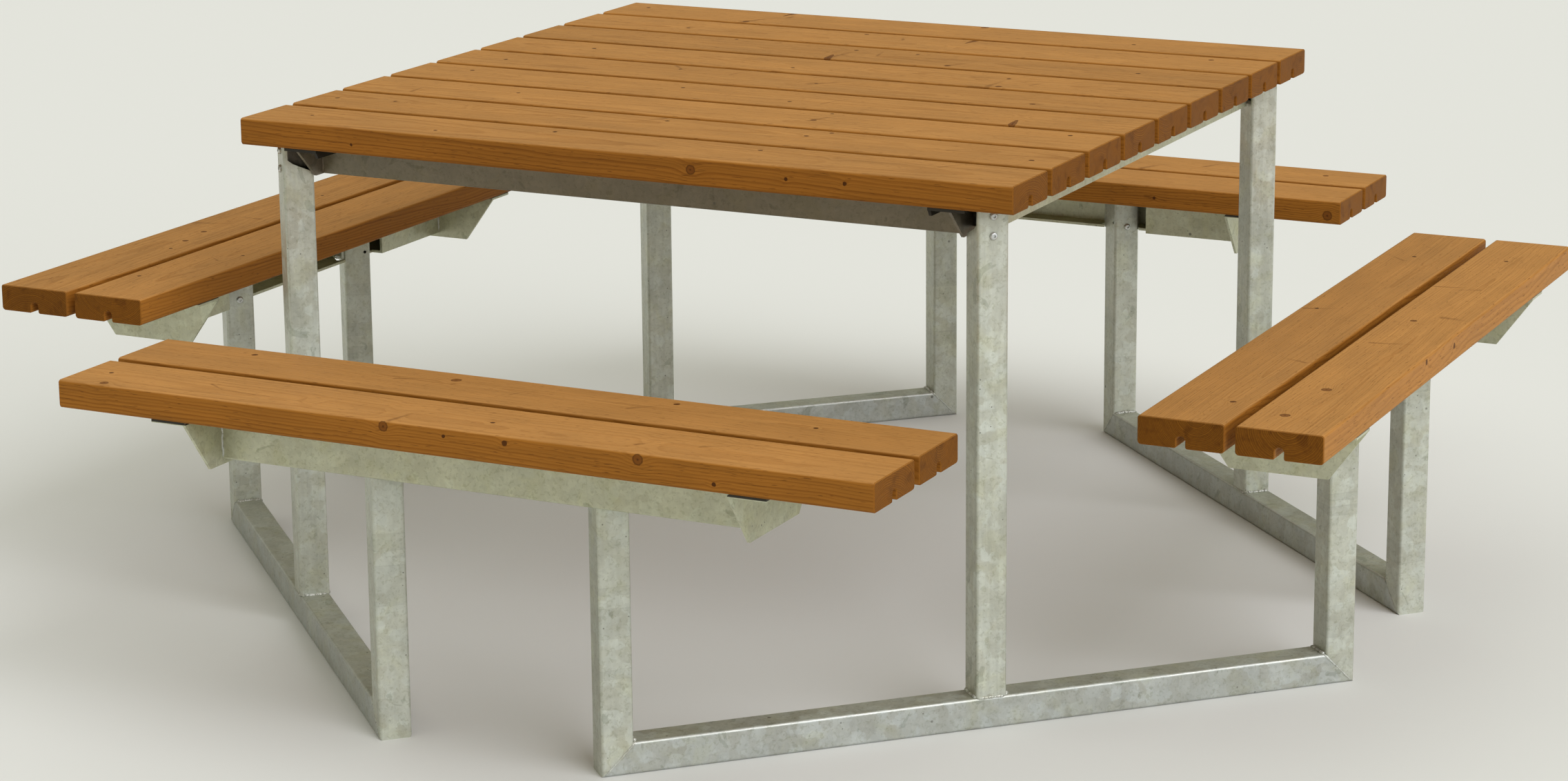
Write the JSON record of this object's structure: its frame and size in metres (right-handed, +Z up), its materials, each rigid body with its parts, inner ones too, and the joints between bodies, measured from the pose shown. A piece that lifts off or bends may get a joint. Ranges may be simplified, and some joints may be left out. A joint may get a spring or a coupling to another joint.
{
  "type": "picnic table",
  "caption": "Square picnic table with a slatted wooden top and a slatted bench on each side, carried by galvanised square tube frames that stand across the corners.",
  "frame": {"origin": "on the ground, under the middle of the table top", "axes": "+Z up, +X along the table planks and the front bench, +Y to the back"},
  "size_m": [2.014, 2.014, 0.74],
  "materials": {
    "wood": "satin",
    "galvanised_steel": "matte",
    "bolt_steel": "satin"
  },
  "bodies": {
    "root": {"table_plank_1": "wood", "table_plank_2": "wood", "table_plank_3": "wood", "table_plank_4": "wood", "table_plank_5": "wood", "table_plank_6": "wood", "table_plank_7": "wood", "table_plank_8": "wood", "table_plank_9": "wood", "front_bench_plank_inner": "wood", "front_bench_plank_outer": "wood", "right_bench_plank_inner": "wood", "right_bench_plank_outer": "wood", "back_bench_plank_inner": "wood", "back_bench_plank_outer": "wood", "left_bench_plank_inner": "wood", "left_bench_plank_outer": "wood", "front_cross_beam": "galvanised_steel", "corner_gusset_front_left": "galvanised_steel", "corner_gusset_front_right": "galvanised_steel", "back_cross_beam": "galvanised_steel", "corner_gusset_back_right": "galvanised_steel", "corner_gusset_back_left": "galvanised_steel", "right_side_beam": "galvanised_steel", "left_side_beam": "galvanised_steel", "ground_rail_front_right": "galvanised_steel", "table_leg_front_right": "galvanised_steel", "front_seat_leg_right": "galvanised_steel", "right_seat_leg_front": "galvanised_steel", "ground_rail_back_right": "galvanised_steel", "table_leg_back_right": "galvanised_steel", "right_seat_leg_back": "galvanised_steel", "back_seat_leg_right": "galvanised_steel", "ground_rail_back_left": "galvanised_steel", "table_leg_back_left": "galvanised_steel", "back_seat_leg_left": "galvanised_steel", "left_seat_leg_back": "galvanised_steel", "ground_rail_front_left": "galvanised_steel", "table_leg_front_left": "galvanised_steel", "left_seat_leg_front": "galvanised_steel", "front_seat_leg_left": "galvanised_steel", "table_corner_tabs": "galvanised_steel", "seat_leg_tabs": "galvanised_steel", "front_bench_beam": "galvanised_steel", "front_bench_bracket_left": "galvanised_steel", "front_bench_bracket_right": "galvanised_steel", "right_bench_beam": "galvanised_steel", "right_bench_bracket_front": "galvanised_steel", "right_bench_bracket_back": "galvanised_steel", "back_bench_beam": "galvanised_steel", "back_bench_bracket_right": "galvanised_steel", "back_bench_bracket_left": "galvanised_steel", "left_bench_beam": "galvanised_steel", "left_bench_bracket_back": "galvanised_steel", "left_bench_bracket_front": "galvanised_steel", "seat_leg_bolts": "bolt_steel", "seat_leg_nuts": "bolt_steel", "table_leg_bolts": "bolt_steel", "plank_screws": "bolt_steel"}
  },
  "joints": []
}
